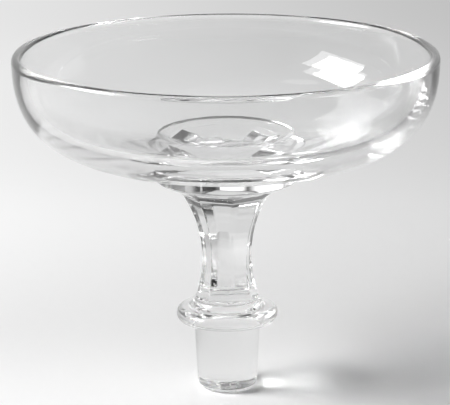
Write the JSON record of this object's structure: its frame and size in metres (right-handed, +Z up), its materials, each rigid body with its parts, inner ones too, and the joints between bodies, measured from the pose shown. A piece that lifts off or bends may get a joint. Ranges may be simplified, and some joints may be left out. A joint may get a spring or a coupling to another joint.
{
  "type": "stemmed nappy dish",
  "caption": "Shallow round clear glass bowl on a waisted panelled stem, with a ring collar and a plain tapered peg below for a candle socket.",
  "frame": {"origin": "centre of the peg's flat foot, on the surface the dish stands on", "axes": "+Z up along the axis of the peg, stem and bowl; +X and -Y each pass through a corner of the panelled stem"},
  "size_m": [0.14, 0.14, 0.115],
  "materials": {
    "bowl_glass": "clear, fire polished",
    "wafer_glass": "clear, fire polished",
    "stem_glass": "clear, pressed in flat panels",
    "collar_glass": "clear, fire polished",
    "peg_glass": "clear, lightly rubbed at the foot"
  },
  "bodies": {
    "root": {"bowl": "bowl_glass", "wafer": "wafer_glass", "stem": "stem_glass", "collar": "collar_glass", "peg": "peg_glass"}
  },
  "joints": []
}
